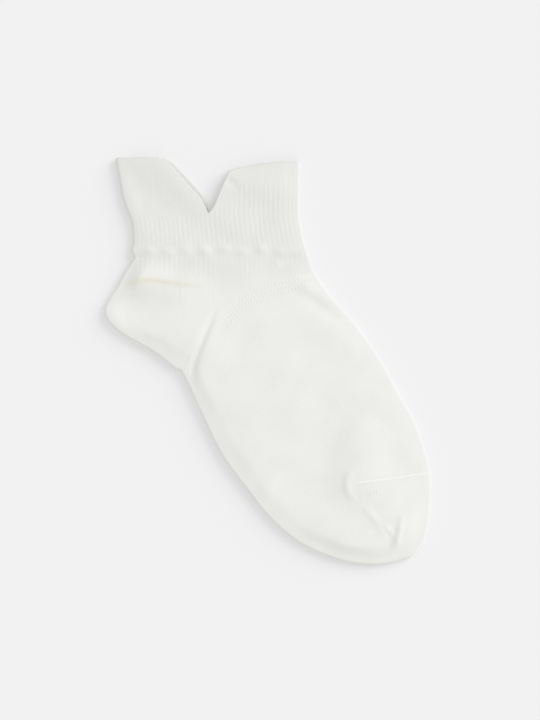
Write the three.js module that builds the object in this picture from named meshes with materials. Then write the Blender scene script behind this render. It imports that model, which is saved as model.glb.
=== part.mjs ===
// A white ankle sock laid flat on its side, with a V cut in its mouth at the ankle bone.
// It is a knitted tube, so a near leaf of cloth lies on a far leaf and both turn into each other
// at soft folds along the back, the sole, the toe and the instep.
// Units are millimetres. +Z is up and the sock rests on z = 0. +Y runs up the leg to its mouth,
// +X points from the heel to the toe side, and the origin is under the middle of the whole sock.
import * as THREE from "three";

// Driving sizes
const FOOT_LENGTH = 210; // from the back of the heel to the toe, laid flat and unstretched
const DRAWN_FOOT_LENGTH = 210; // the foot length that the tables below are drawn at
const WALL = 1.3; // one thickness of the cotton knit
const FOLD_RADIUS = 1.9; // outside radius of the fold between the near and the far leaf
const CROWN = 0.5; // how much the two leaves thicken from a pressed fold to their middle
const CROWN_RUN = 11; // how far in from a fold they reach that thickness
const KNIT_GAP = 0.32; // clear space between two pieces where they meet
const LIFT_FADE = 9; // how far in from a fold the near leaf's own folds and swells come to full height

// Ribs and seam
const BACK_RIBS = 16; // ribs on the near leaf from the back fold to the foot of the V
const FRONT_RIBS = 18; // ribs on the near leaf from the foot of the V to the instep fold
const RIB_HEIGHT = 0.45;
const RIB_PROFILE = [0, 1, 1, 0]; // height of the steps across one rib
const PUCKER_HEIGHT = 0.5; // soft bubbles between the two ribbed bands
const PUCKER_PITCH = 9.9;
const PUCKER_START = [-62.8, 59.0]; // where in the drawn plan the first bubble stands
const PUCKER_REACH = 3.4; // how far above and below that line the bubbles fade out
const SEAM_WIDTH = 1.9;
const SEAM_HEIGHT = 0.75;
const SEAM_WRAP_DEG = -40; // how far round the instep fold the toe seam reaches

const PLAN_SCALE = FOOT_LENGTH / DRAWN_FOOT_LENGTH;
const DOUBLE = 2 * FOLD_RADIUS; // height of the two leaves lying on each other

// Back tab: rows from the mouth down. fold is on the back edge, near and far are the cut ends of
// the two leaves along the V, and the far leaf shows a little past the near one.
const BACK_TAB = [
  { fold: [-80.9, 108.5], near: [-58.4, 108.6], far: [-55.8, 108.6] },
  { fold: [-81.1, 106.4], near: [-54.0, 106.6], far: [-51.0, 106.4] },
  { fold: [-80.3, 102.0], near: [-49.4, 102.0], far: [-46.4, 102.0] },
  { fold: [-79.3, 96.6], near: [-44.6, 96.6], far: [-41.4, 96.6] },
  { fold: [-78.4, 91.3], near: [-39.8, 91.3], far: [-36.7, 91.3] },
  { fold: [-77.2, 86.0], near: [-35.2, 86.0], far: [-33.0, 86.0] },
  { fold: [-74.6, 78.8], near: [-31.8, 78.8], far: [-31.8, 78.8] },
];

// Front tab: rows from the mouth down. bow lifts the middle of the row, for the curved top edge.
const FRONT_TAB = [
  { fold: [17.2, 106.5], near: [-20.7, 101.7], bow: 1.4, rib: 0 },
  { fold: [17.5, 102.6], near: [-22.4, 97.7], bow: 1.1, rib: 0 },
  { fold: [17.4, 97.2], near: [-24.8, 92.4], bow: 0.7, rib: 0.2 },
  { fold: [17.3, 93.6], near: [-26.2, 89.0], bow: 0.5, rib: 1 },
  { fold: [17.2, 86.4], near: [-28.9, 82.5], bow: 0.2, rib: 1 },
  { fold: [17.1, 78.8], near: [-31.2, 78.8], bow: 0, rib: 1 },
];

// Rib band: rings from the foot of the V down to the heel's top line and the instep's gore line.
const RIB_BAND = [
  { back: [-74.6, 78.8], middle: [-31.6, 78.8], front: [17.1, 78.8], backRib: 0, frontRib: 1 },
  { back: [-73.4, 76.2], middle: [-31.3, 76.0], front: [17.4, 76.0], backRib: 0.7, frontRib: 1 },
  { back: [-72.5, 73.0], middle: [-31.1, 72.6], front: [18.0, 72.6], backRib: 1, frontRib: 1 },
  { back: [-71.8, 64.1], middle: [-30.2, 64.1], front: [19.6, 64.1], backRib: 1, frontRib: 1 },
  { back: [-72.4, 61.3], middle: [-30.0, 61.3], front: [20.4, 61.5], backRib: 0.4, frontRib: 0.6 },
  { back: [-73.0, 59.0], middle: [-29.7, 59.0], front: [21.2, 59.1], backRib: 0.1, frontRib: 0.3 },
  { back: [-72.2, 56.7], middle: [-29.3, 56.6], front: [22.0, 56.7], backRib: 0.4, frontRib: 0.4 },
  { back: [-71.7, 54.9], middle: [-29.0, 54.4], front: [22.5, 55.2], backRib: 0.9, frontRib: 0.5 },
  { back: [-74.6, 50.0], middle: [-28.1, 48.6], front: [23.5, 51.6], backRib: 0.9, frontRib: 0.3 },
  { back: [-76.4, 47.3], middle: [-27.7, 45.0], front: [23.9, 50.4], backRib: 0, frontRib: 0 },
  { back: [-78.4, 43.4], middle: [-26.9, 38.4], front: [24.3, 49.3], backRib: 0, frontRib: 0 },
  { back: [-80.3, 39.6], middle: [-26.0, 30.0], front: [24.8, 48.1], backRib: 0, frontRib: 0 },
];

// Heel pocket: where its fold runs, from the leg's back edge round the heel to the sole.
const HEEL_FOLD = [
  [-80.3, 39.6], [-83.5, 35.0], [-86.1, 30.6], [-87.3, 26.8], [-86.4, 23.2], [-83.3, 19.1],
  [-78.2, 14.8], [-70.8, 10.3], [-62.8, 5.9], [-55.3, 0.4], [-50.5, -3.6], [-46.5, -5.2],
];

// Foot: rings from the gore lines at the ankle to the toe line.
const FOOT = [
  { sole: [-46.5, -5.2], middle: [-26.0, 30.0], instep: [24.8, 48.1] },
  { sole: [-41.2, -15.8], middle: [-19.6, 16.1], instep: [34.2, 34.8] },
  { sole: [-33.2, -33.4], middle: [-10.0, -0.4], instep: [48.1, 18.8] },
  { sole: [-23.9, -51.5], middle: [1.2, -18.5], instep: [60.9, 0.2] },
  { sole: [-11.1, -68.9], middle: [12.4, -35.6], instep: [70.5, -17.4] },
  { sole: [2.0, -84.9], middle: [23.1, -48.9], instep: [78.0, -30.5] },
  { sole: [18.8, -98.2], middle: [33.2, -57.7], instep: [82.7, -42.5] },
  { sole: [41.2, -107.0], middle: [39.8, -62.7], instep: [85.3, -51.5] },
  { sole: [58.8, -108.6], middle: [41.4, -64.1], instep: [86.4, -56.2] },
  { sole: [69.4, -106.7], middle: [42.8, -65.4], instep: [87.0, -59.5] },
];

// Toe pocket: where its fold runs, from the instep round the toes to the sole.
const TOE_FOLD = [
  [87.0, -59.5], [87.4, -68.6], [87.0, -78.2], [85.8, -87.8], [83.0, -96.8], [77.2, -103.8],
  [69.4, -106.7],
];

// Broad swells where trapped air and spare cloth lift the near leaf: half-widths along and across.
const SWELLS = [
  { name: "foot", at: [9, -28], along: 58, across: 34, turn: -55, height: 1.1 },
  { name: "heel", at: [-53, 21], along: 24, across: 16, turn: -30, height: 0.9 },
  { name: "toe", at: [62, -80], along: 24, across: 16, turn: -70, height: 1.3 },
  { name: "ankle", at: [-26, 52], along: 30, across: 12, turn: 0, height: 0.5 },
  { name: "front tab", at: [-4, 94], along: 16, across: 9, turn: 0, height: 0.4 },
  { name: "back tab edge", at: [-49, 97], along: 20, across: 7, turn: -48, height: 0.7 },
];

// Folds and hollows pressed into the near leaf. Each follows a line of points: the place in the
// plan and the height there, below zero in a trough. left and right are the widths of its flanks
// to the left and the right of the line, as it runs from its first point to its last.
const CREASES = [
  {
    name: "roll over the heel's top line",
    left: 5.5,
    right: 1.5,
    line: [
      [-79, 40, 0.5], [-71, 44.6, 0.7], [-63, 46, 0.8], [-53, 45.6, 0.7], [-42, 43.8, 0.4],
      [-30, 42.4, 0],
    ],
  },
  {
    name: "heel's shelf",
    left: 9,
    right: 9,
    line: [
      [-83, 37, 0.2], [-76, 41.2, 1], [-67, 42.4, 1.5], [-57, 42.4, 1], [-47, 42, 0.3],
      [-40, 41, 0],
    ],
  },
  {
    name: "heel hollow",
    left: 9,
    right: 6,
    line: [
      [-87, 25.5, -1.3], [-80, 27.5, -1.6], [-72, 30.8, -1.1], [-64, 34, -0.5], [-55, 37.4, -0.2],
      [-48, 39, 0],
    ],
  },
  {
    name: "gore fold",
    left: 1.4,
    right: 2,
    line: [
      [-27, 29, -0.1], [-31, 19, -0.4], [-35.6, 8, -0.5], [-39.4, -2, -0.5], [-41.6, -10, -0.5],
      [-42.5, -18, 0],
    ],
  },
  {
    name: "gore fold's far side",
    left: 9,
    right: 2.2,
    line: [
      [-24, 26.5, 0.1], [-28.6, 17, 0.4], [-32.8, 6.5, 0.5], [-36, -4, 0.6], [-37.6, -13, 0.5],
      [-38, -24, 0],
    ],
  },
  {
    name: "toe hollow",
    left: 11,
    right: 18,
    line: [
      [42, -26, -0.2], [32, -38, -0.9], [27, -50, -1.1], [27, -62, -0.8], [31, -76, -0.3],
      [36, -84, 0],
    ],
  },
  {
    name: "toe shoulder",
    left: 12,
    right: 11,
    line: [
      [60, -32, 0.2], [54.5, -41, 0.8], [49.5, -51, 1.1], [46.2, -62, 1], [46.6, -72, 0.6],
      [50, -82, 0.1],
    ],
  },
  {
    name: "toe's lower roll",
    left: 13,
    right: 5,
    line: [
      [7, -79, 0], [21, -90, 0.6], [33, -95.5, 1.1], [46, -98.6, 1.2], [57, -98.4, 0.7],
      [65, -95, 0],
    ],
  },
  {
    name: "toe tuck",
    left: 2,
    right: 1.1,
    line: [
      [71.8, -81, 0], [70.6, -86.5, 0.3], [69.4, -93, 0.5], [68, -98.2, 0.6], [64.6, -101.8, 0.5],
      [60, -104.4, 0.1],
    ],
  },
  {
    name: "toe tuck's hollow",
    left: 1.4,
    right: 3,
    line: [
      [68.8, -82, 0], [67.4, -89, -0.3], [65.8, -95, -0.35],
      [62.5, -99.6, -0.4], [56, -103, 0],
    ],
  },
  {
    name: "instep crease",
    left: 2,
    right: 3,
    line: [[5, 52, 0], [9, 53.5, -0.4], [15.5, 56, -0.6], [21, 58.3, -0.3], [24, 59.5, 0]],
  },
  {
    name: "instep hollow",
    left: 4,
    right: 5,
    line: [[9, 37.5, 0], [16, 35.5, -0.4], [25, 32, -0.7], [33, 28.4, -0.6], [42, 23, 0]],
  },
  {
    name: "back tab hollow",
    left: 9,
    right: 10,
    line: [[-79, 99, -0.2], [-69, 91, -0.7], [-59, 84.5, -0.8], [-47, 77, -0.4], [-38, 70, 0]],
  },
];

const smooth = (t) => THREE.MathUtils.smoothstep(t, 0, 1);
const mix = (a, b, t) => [a[0] + (b[0] - a[0]) * t, a[1] + (b[1] - a[1]) * t];
const distance = (a, b) => Math.hypot(b[0] - a[0], b[1] - a[1]);

// Moves point a towards b by a set distance.
const stepTowards = (a, b, step) => mix(a, b, step / distance(a, b));

// Moves a corner off the two lines that meet there, into their angle, or out of it if offset is negative.
function miter(corner, a, b, offset) {
  const first = stepTowards(corner, a, 1);
  const second = stepTowards(corner, b, 1);
  const sineOfHalfAngle = distance(first, second) / 2;
  return stepTowards(corner, mix(first, second, 0.5), offset / sineOfHalfAngle);
}

function swellHeight({ at, along, across, turn, height }, x, y) {
  const angle = THREE.MathUtils.degToRad(turn);
  const dx = x - at[0];
  const dy = y - at[1];
  const u = (dx * Math.cos(angle) + dy * Math.sin(angle)) / along;
  const v = (dy * Math.cos(angle) - dx * Math.sin(angle)) / across;
  return height * Math.exp(-(u * u + v * v));
}

// Each crease with its line smoothed into short straight spans.
const CREASE_LINES = CREASES.map(({ left, right, line }) => {
  const curve = new THREE.CatmullRomCurve3(line.map(([x, y, z]) => new THREE.Vector3(x, y, z)));
  return { left, right, points: curve.getPoints((line.length - 1) * 4) };
});

// Height of a crease at a place in the plan, from the nearest point of its line.
function creaseHeight({ left, right, points }, x, y) {
  let nearest = Infinity;
  let height = 0;
  for (let i = 0; i + 1 < points.length; i++) {
    const [a, b] = [points[i], points[i + 1]];
    const [ux, uy] = [b.x - a.x, b.y - a.y];
    const t = THREE.MathUtils.clamp(((x - a.x) * ux + (y - a.y) * uy) / (ux * ux + uy * uy), 0, 1);
    const [dx, dy] = [x - a.x - t * ux, y - a.y - t * uy];
    const away = Math.hypot(dx, dy);
    if (away >= nearest) continue;
    const width = ux * dy - uy * dx > 0 ? left : right;
    nearest = away;
    height = (a.z + (b.z - a.z) * t) * Math.exp(-((away / width) ** 2));
  }
  return height;
}

// The small bubbles in the plain strip between the two ribbed bands.
function puckerHeight(x, y) {
  const wave = 0.5 + 0.5 * Math.cos((2 * Math.PI * (x - PUCKER_START[0])) / PUCKER_PITCH);
  return PUCKER_HEIGHT * wave * Math.exp(-(((y - PUCKER_START[1]) / PUCKER_REACH) ** 2));
}

// How much the near leaf stands above the two flat leaves at a place in the drawn plan.
function lift(x, y) {
  const swells = SWELLS.reduce((sum, swell) => sum + swellHeight(swell, x, y), 0);
  const creases = CREASE_LINES.reduce((sum, crease) => sum + creaseHeight(crease, x, y), 0);
  return swells + creases + puckerHeight(x, y);
}

// Height of the near leaf's outer skin at a place, and how far that place lies in from its fold.
function nearSkin(inward, x, y) {
  const past = inward - FOLD_RADIUS / PLAN_SCALE;
  const t = THREE.MathUtils.clamp(past / CROWN_RUN, 0, 1);
  return DOUBLE + CROWN * smooth(8 * t) * t * (2 - t) + lift(x, y) * smooth(past / LIFT_FADE);
}

// A point of a section, at a depth under the cloth's outer skin. inward is the distance from the fold.
function leafPoint(row, end, inward, z) {
  const length = distance(row.fold, end);
  const t = inward / length;
  const [x, y] = mix(row.fold, end, t);
  const bow = (row.bow ?? 0) * 4 * t * (1 - t);
  const side = Math.sign(end[0] - row.fold[0]);
  const px = x - (side * bow * (end[1] - row.fold[1])) / length;
  const py = y + (side * bow * (end[0] - row.fold[0])) / length;
  return [px * PLAN_SCALE, py * PLAN_SCALE, z(px, py)];
}

// One fold with its two leaves, as stations from the far leaf's end round the fold to the near
// leaf's end. place runs 0 to 1 on the far leaf, 1 to 2 round the fold and 2 to 3 on the near leaf.
function foldedSection(row, depth, steps, relief) {
  const stations = [];
  const inner = FOLD_RADIUS - depth;
  const start = FOLD_RADIUS / PLAN_SCALE;
  const far = row.far ?? row.near;
  const farLength = distance(row.fold, far);
  const nearLength = distance(row.fold, row.near);
  for (let i = 0; i < steps.far; i++) {
    const t = i / steps.far;
    const inward = farLength + (start - farLength) * t;
    stations.push({ place: t, point: leafPoint(row, far, inward, () => depth) });
  }
  for (let i = 0; i <= steps.fold; i++) {
    const t = i / steps.fold;
    const angle = Math.PI * (t - 0.5);
    const inward = (FOLD_RADIUS - inner * Math.cos(angle)) / PLAN_SCALE;
    const z = FOLD_RADIUS + inner * Math.sin(angle);
    stations.push({ place: 1 + t, point: leafPoint(row, row.near, inward, () => z) });
  }
  // A row with a reach is spaced out along that length, and what would lie past its end stops there.
  const reach = row.reach ?? nearLength;
  for (let i = 1; i <= steps.near; i++) {
    const t = i / steps.near;
    const inward = Math.min(nearLength, start + (reach - start) * t);
    const raised = relief && inward < nearLength ? relief(row, i) : 0;
    const z = (x, y) => nearSkin(inward, x, y) - depth + raised;
    stations.push({ place: 2 + t, point: leafPoint(row, row.near, inward, z) });
  }
  return stations;
}

// Ribs, as height above the near leaf's plain skin.
const ribRelief = (row, i) => RIB_HEIGHT * row.rib * RIB_PROFILE[i % RIB_PROFILE.length];

// A whole ring: the back half from its far end to its near end, then the front half back again.
function ringSection(row, depth, backSteps, frontSteps, relief) {
  const back = foldedSection(row.backHalf, depth, backSteps, relief);
  const front = foldedSection(row.frontHalf, depth, frontSteps, relief);
  const returning = front.reverse().map(({ place, point }) => ({ place: 6 - place, point }));
  return [...back, ...returning.slice(1, -1)];
}

// Joins rows of outer stations and rows of inner stations into one closed body of cloth.
function clothSolid(outer, inner, closed) {
  const vertices = [];
  const faces = [];
  const known = new Map();
  const vertex = ({ point }) => {
    const key = point.map((v) => v.toFixed(3)).join(" ");
    if (!known.has(key)) {
      known.set(key, vertices.length);
      vertices.push(point);
    }
    return known.get(key);
  };
  const triangle = (a, b, c) => {
    const [p, q, r] = [vertex(a), vertex(b), vertex(c)];
    if (p !== q && q !== r && r !== p) faces.push(p, q, r);
  };
  const quad = (a, b, c, d) => {
    triangle(a, b, c);
    triangle(a, c, d);
  };
  const wrapped = (row) => (closed ? [...row, { ...row[0], place: 6 }] : row);
  const grid = (rows, flipped) => {
    for (let i = 0; i + 1 < rows.length; i++) {
      const a = wrapped(rows[i]);
      const b = wrapped(rows[i + 1]);
      for (let j = 0; j + 1 < a.length; j++) {
        if (flipped) quad(a[j], b[j], b[j + 1], a[j + 1]);
        else quad(a[j], a[j + 1], b[j + 1], b[j]);
      }
    }
  };
  // Closes the rim between an outer and an inner row, which may have different numbers of stations.
  const rim = (outerRow, innerRow, flipped) => {
    const a = wrapped(outerRow);
    const b = wrapped(innerRow);
    let i = 0;
    let j = 0;
    while (i + 1 < a.length || j + 1 < b.length) {
      const outerNext = i + 1 < a.length ? a[i + 1].place : Infinity;
      const innerNext = j + 1 < b.length ? b[j + 1].place : Infinity;
      const third = outerNext <= innerNext ? a[i + 1] : b[j + 1];
      if (flipped) triangle(b[j], third, a[i]);
      else triangle(a[i], third, b[j]);
      if (outerNext <= innerNext) i++;
      else j++;
    }
  };
  const last = outer.length - 1;
  grid(outer, false);
  grid(inner, true);
  rim(outer[0], inner[0], true);
  rim(outer[last], inner[last], false);
  for (let i = 0; !closed && i < last; i++) {
    const [a, b, c, d] = [outer[i], outer[i + 1], inner[i + 1], inner[i]];
    quad(a[0], b[0], c[0], d[0]);
    quad(b.at(-1), a.at(-1), d.at(-1), c.at(-1));
  }
  const geometry = new THREE.BufferGeometry();
  geometry.setAttribute("position", new THREE.Float32BufferAttribute(vertices.flat(), 3));
  geometry.setIndex(faces);
  if (signedVolume(vertices, faces) < 0) geometry.setIndex([...faces].reverse());
  geometry.computeVertexNormals();
  return geometry;
}

function signedVolume(vertices, faces) {
  const [a, b, c] = [new THREE.Vector3(), new THREE.Vector3(), new THREE.Vector3()];
  let sum = 0;
  for (let i = 0; i < faces.length; i += 3) {
    a.fromArray(vertices[faces[i]]);
    b.fromArray(vertices[faces[i + 1]]);
    c.fromArray(vertices[faces[i + 2]]);
    sum += a.dot(b.cross(c));
  }
  return sum / 6;
}

// A smooth line through points in the plan, with a set number of steps in each span.
function smoothLine(points, stepsPerSpan) {
  const curve = new THREE.CatmullRomCurve3(
    points.map(([x, y]) => new THREE.Vector3(x, y, 0)),
    false,
    "centripetal",
  );
  const count = (points.length - 1) * stepsPerSpan;
  return curve.getPoints(count).map((p) => [p.x, p.y]);
}

// Draws the first and the last row of a piece in by half of the gap to its neighbour.
function partRows(rows, columns, ends) {
  const moved = rows.map((row) => ({ ...row }));
  const last = rows.length - 1;
  for (const column of columns) {
    const draw = (at, next) => stepTowards(rows[at][column], rows[next][column], KNIT_GAP / 2);
    if (ends.first) moved[0][column] = draw(0, 1);
    if (ends.last) moved[last][column] = draw(last, last - 1);
  }
  return moved;
}

// The ribs of a tab run straight up from the band, so that the V's edge cuts across them.
function tab(table, ribs) {
  const filled = table.map((row) => ({ ...row, far: row.far ?? row.near }));
  const rows = partRows(filled, ["fold", "near", "far"], { last: true });
  const foot = rows.at(-1);
  const reach = distance(foot.fold, foot.near);
  const skin = { far: 3, fold: 6, near: ribs ? ribs * RIB_PROFILE.length : 12 };
  const lining = { far: 3, fold: 5, near: 8 };
  const ribbed = rows.map((row) => ({ ...row, reach: ribs ? reach : undefined }));
  const outer = ribbed.map((row) => foldedSection(row, 0, skin, ribs ? ribRelief : undefined));
  const inner = ribbed.map((row) => foldedSection(row, WALL, lining));
  return clothSolid(outer, inner, false);
}

function ribBand() {
  const parted = partRows(RIB_BAND, ["back", "middle", "front"], { first: true, last: true });
  const gores = RIB_BAND.at(-1);
  parted.at(-1).middle = miter(gores.middle, gores.back, gores.front, KNIT_GAP / 2);
  const rows = parted.map(({ back, middle, front, backRib, frontRib }) => ({
    backHalf: { fold: back, near: middle, rib: backRib },
    frontHalf: { fold: front, near: middle, rib: frontRib },
  }));
  const plain = { far: 3, fold: 5, near: 14 };
  const backSteps = { far: 3, fold: 6, near: BACK_RIBS * RIB_PROFILE.length };
  const frontSteps = { far: 3, fold: 6, near: FRONT_RIBS * RIB_PROFILE.length };
  const outer = rows.map((row) => ringSection(row, 0, backSteps, frontSteps, ribRelief));
  const inner = rows.map((row) => ringSection(row, WALL, plain, plain));
  return clothSolid(outer, inner, true);
}

function foot() {
  const [soles, middles, insteps] = ["sole", "middle", "instep"].map((column) =>
    smoothLine(FOOT.map((row) => row[column]), 3),
  );
  const drawn = soles.map((sole, i) => ({ sole, middle: middles[i], instep: insteps[i] }));
  const parted = partRows(drawn, ["sole", "instep"], { first: true, last: true });
  const ankle = FOOT[0];
  const toes = FOOT.at(-1);
  parted[0].middle = miter(ankle.middle, ankle.sole, ankle.instep, KNIT_GAP / 2);
  parted.at(-1).middle = miter(toes.middle, toes.sole, toes.instep, -KNIT_GAP / 2);
  const rows = parted.map(({ sole, middle, instep }) => ({
    backHalf: { fold: sole, near: middle },
    frontHalf: { fold: instep, near: middle },
  }));
  const skin = { far: 2, fold: 6, near: 13 };
  const lining = { far: 2, fold: 5, near: 13 };
  const outer = rows.map((row) => ringSection(row, 0, skin, skin));
  const inner = rows.map((row) => ringSection(row, WALL, lining, lining));
  return clothSolid(outer, inner, true);
}

// A pocket knitted with short rows: sections fan out from one corner in each leaf to the fold.
function pocket(corner, foldPoints, spanSteps) {
  const line = smoothLine(foldPoints, spanSteps);
  const rays = partRows(line.map((fold) => ({ fold })), ["fold"], { first: true, last: true });
  const tip = miter(corner, line[0], line.at(-1), KNIT_GAP / 2);
  const rows = rays.map(({ fold }) => ({ fold, near: tip }));
  const skin = { far: 2, fold: 6, near: 14 };
  const lining = { far: 2, fold: 5, near: 14 };
  const outer = rows.map((row) => foldedSection(row, 0, skin));
  const inner = rows.map((row) => foldedSection(row, WALL, lining));
  return clothSolid(outer, inner, false);
}

// The linked seam that closes the toe: a low rounded strip over the near leaf and round the fold.
function toeSeam() {
  const start = FOOT.at(-1).middle;
  const end = FOOT.at(-1).instep;
  const line = { fold: end, near: stepTowards(start, end, 1.5) };
  const length = distance(start, end);
  const across = [(end[1] - start[1]) / length, (start[0] - end[0]) / length];
  const edges = [-1, -0.5, 0, 0.5, 1];
  const strip = (height) => {
    const rows = [];
    const wrap = THREE.MathUtils.degToRad(SEAM_WRAP_DEG);
    const shifted = (edge, inward, z) => {
      const shift = edge * (SEAM_WIDTH / 2);
      const moved = (p) => [p[0] + across[0] * shift, p[1] + across[1] * shift];
      return leafPoint({ fold: moved(line.fold) }, moved(line.near), inward, z);
    };
    for (let angle = wrap; angle < Math.PI / 2; angle += Math.PI / 12) {
      rows.push(edges.map((edge) => {
        const radius = FOLD_RADIUS + KNIT_GAP + height(edge);
        const z = FOLD_RADIUS + radius * Math.sin(angle);
        return { place: edge, point: shifted(edge, FOLD_RADIUS - radius * Math.cos(angle), () => z) };
      }));
    }
    const steps = 14;
    for (let i = 0; i <= steps; i++) {
      rows.push(edges.map((edge) => {
        const inward = FOLD_RADIUS + (distance(line.fold, line.near) - FOLD_RADIUS) * (i / steps);
        const z = (x, y) => nearSkin(inward, x, y) + KNIT_GAP + height(edge);
        return { place: edge, point: shifted(edge, inward, z) };
      }));
    }
    return rows;
  };
  const rounded = (edge) => SEAM_HEIGHT * Math.sqrt(1 - 0.8 * edge * edge);
  return clothSolid(strip(rounded), strip(() => 0), false);
}

const materials = {
  plain: new THREE.MeshStandardMaterial({ color: 0xeceded, roughness: 0.92, metalness: 0 }),
  rib: new THREE.MeshStandardMaterial({ color: 0xe6e6e1, roughness: 0.94, metalness: 0 }),
  seam: new THREE.MeshStandardMaterial({ color: 0xf0f0eb, roughness: 0.88, metalness: 0 }),
};

function named(name, geometry, material) {
  const mesh = new THREE.Mesh(geometry, material);
  mesh.name = name;
  return mesh;
}

const sock = new THREE.Group();
sock.name = "ankle_sock";
sock.add(
  named("back_tab", tab(BACK_TAB, 0), materials.plain),
  named("front_tab", tab(FRONT_TAB, FRONT_RIBS), materials.rib),
  named("rib_band", ribBand(), materials.rib),
  named("heel_pocket", pocket(RIB_BAND.at(-1).middle, HEEL_FOLD, 2), materials.plain),
  named("foot", foot(), materials.plain),
  named("toe_pocket", pocket(FOOT.at(-1).middle, TOE_FOLD, 3), materials.plain),
  named("toe_seam", toeSeam(), materials.seam),
);

export default sock;
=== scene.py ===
import math
from collections import namedtuple

import bpy
import numpy as np
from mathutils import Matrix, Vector
from mathutils.bvhtree import BVHTree


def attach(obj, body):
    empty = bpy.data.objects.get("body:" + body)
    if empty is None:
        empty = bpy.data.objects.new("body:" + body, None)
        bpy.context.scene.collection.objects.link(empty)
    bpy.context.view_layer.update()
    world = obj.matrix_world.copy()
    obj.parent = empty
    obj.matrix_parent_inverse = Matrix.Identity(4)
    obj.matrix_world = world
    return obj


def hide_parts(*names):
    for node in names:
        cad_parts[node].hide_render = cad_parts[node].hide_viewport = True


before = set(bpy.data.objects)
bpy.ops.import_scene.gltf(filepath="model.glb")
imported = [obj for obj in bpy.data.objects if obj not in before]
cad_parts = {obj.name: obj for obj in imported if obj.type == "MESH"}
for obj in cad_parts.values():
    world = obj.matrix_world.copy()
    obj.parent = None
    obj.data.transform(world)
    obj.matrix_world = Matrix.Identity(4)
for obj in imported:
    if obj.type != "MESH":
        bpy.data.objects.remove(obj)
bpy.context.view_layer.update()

bl_info = {
    "name": "Ankle sock, laid flat",
    "version": (1, 0, 0),
    "blender": (4, 5, 0),
    "location": "3D View > Sidebar > Sock",
    "description": "Dresses the packed model of an ankle sock with its knit, ribs, folds and seams",
    "category": "Object",
}

MM = 0.001
LIFT_FADE = 9.0  # how far in from a fold the near leaf's own folds and swells come to full height
CROWN = 0.5  # how much the two leaves thicken from a pressed fold to their middle
CROWN_RUN = 11.0  # how far in from a fold they reach that thickness
CROWN_EASE = 8  # the first part of that run, one in this many, comes in gently
RIB_TURN = 0.35  # how far ribs run on round a fold, as the sine of the angle under its side
SEAM_WRAP = -40.0  # degrees round the front fold that the toe seam reaches
SEAM_SINK = 0.1  # how far the toe seam and the stitches lie pressed into the knit
SEAM_STOP = 1.5  # how far short of the toe's corner the seam ends
SEAM_TAPER = 5.0  # over how much of its end it grows lower
SEAM_END = 0.35  # how much of its height is left there
UV_UNIT = 100.0  # millimetres of cloth in one unit of the knit's UV map
RIM_MARGIN = 0.03  # how close to a rim the row beside it lies
NO_EDGE = 99.0  # distance to an open edge, in millimetres, where there is none near
EDGE_STEPS = np.array([0.72, 0.5, 0.3, 0.13, 0.03, 0.0])  # stations of a rounded edge, as shares of it

# How closely the cloth is drawn, in millimetres or in steps.
RIBBED_SPACING = 0.6
PLAIN_SPACING = 0.8
CREASE_SPACING = 2.5
SEAM_SPACING = 0.5
STITCH_LINE_SPACING = 0.8
RIB_STEPS = 8
SEAM_WRAP_STEPS = 24
SEAM_COLUMNS = 11
MERGE_DIGITS = 4  # stations that agree to this many decimals become one
EDGE_CLEARANCE = 1.3  # how far off a rounded edge the even rows start, in widths of the rounding
LEVEL = 0.999  # cloth whose normal is more upright than this lies in one of the two leaves
LOOK_DOWN = 50.0  # the height from which the top of the cloth is looked for

# Steps across a row: on the far leaf, round the fold and on the near leaf. A ribbed near leaf has
# RIB_STEPS for each rib instead.
Columns = namedtuple("Columns", "far fold near")
TAB_COLUMNS = Columns(16, 12, 64)
BAND_COLUMNS = Columns(14, 12, 0)
POCKET_COLUMNS = Columns(14, 12, 70)
FOOT_COLUMNS = Columns(12, 12, 66)

# Degrees that the wales turn from straight down the leg.
FOOT_WALES = 35
HEEL_WALES = -60

# The ribs of the front tab fade out towards the V.
NOTCH_PLAIN = 3.0  # how much of the tab beside the V is plain
NOTCH_RUN = 12.0  # over how much they come in
NOTCH_RISE = 7.0  # how far over the V's foot the fading is full

# The relief of a knit stitch, the painted shade in its hollows, and the marks of its yarn.
LEG_ROUNDNESS = 0.6  # below 1 a leg of the V is broad and the gap beside it narrow
LEG_SLANT = 1.6  # courses for each wale that a leg rises
LOOP_SWELL = 0.3  # how much a loop's height changes along its leg
FIBRE_RELIEF = 0.2  # what loose fibres add to a stitch's height
FIBRE_SCALE = 260.0  # patches of fibre in one unit of the UV map
HOLLOW_SHADE_TONE = 0.976  # the yarn's colour in the painted shade of the hollows between stitches, as a share
STITCH_PAINTED_SHADE = 0.025  # how much lighter a stitch's crown is than its painted-shade hollows
UNEVEN_TONE = 0.03  # how much the yarn's tone varies
UNEVEN_SCALE = 9.0  # patches of uneven yarn in one unit of the UV map

# Rows of each piece, in the plan, from the mouth down or from the ankle to the toe. A tab's row has
# its fold and the ends of its near and far leaf, and bows up the leg between them. A row of the band
# or the foot has two folds and the middle where its halves meet. Each rib column says how full the
# ribs are, from 0 to 1.
TabRow = namedtuple("TabRow", "fold near far bow rib")
BandRow = namedtuple("BandRow", "back middle front back_rib front_rib")
FootRow = namedtuple("FootRow", "sole middle instep")

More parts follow.
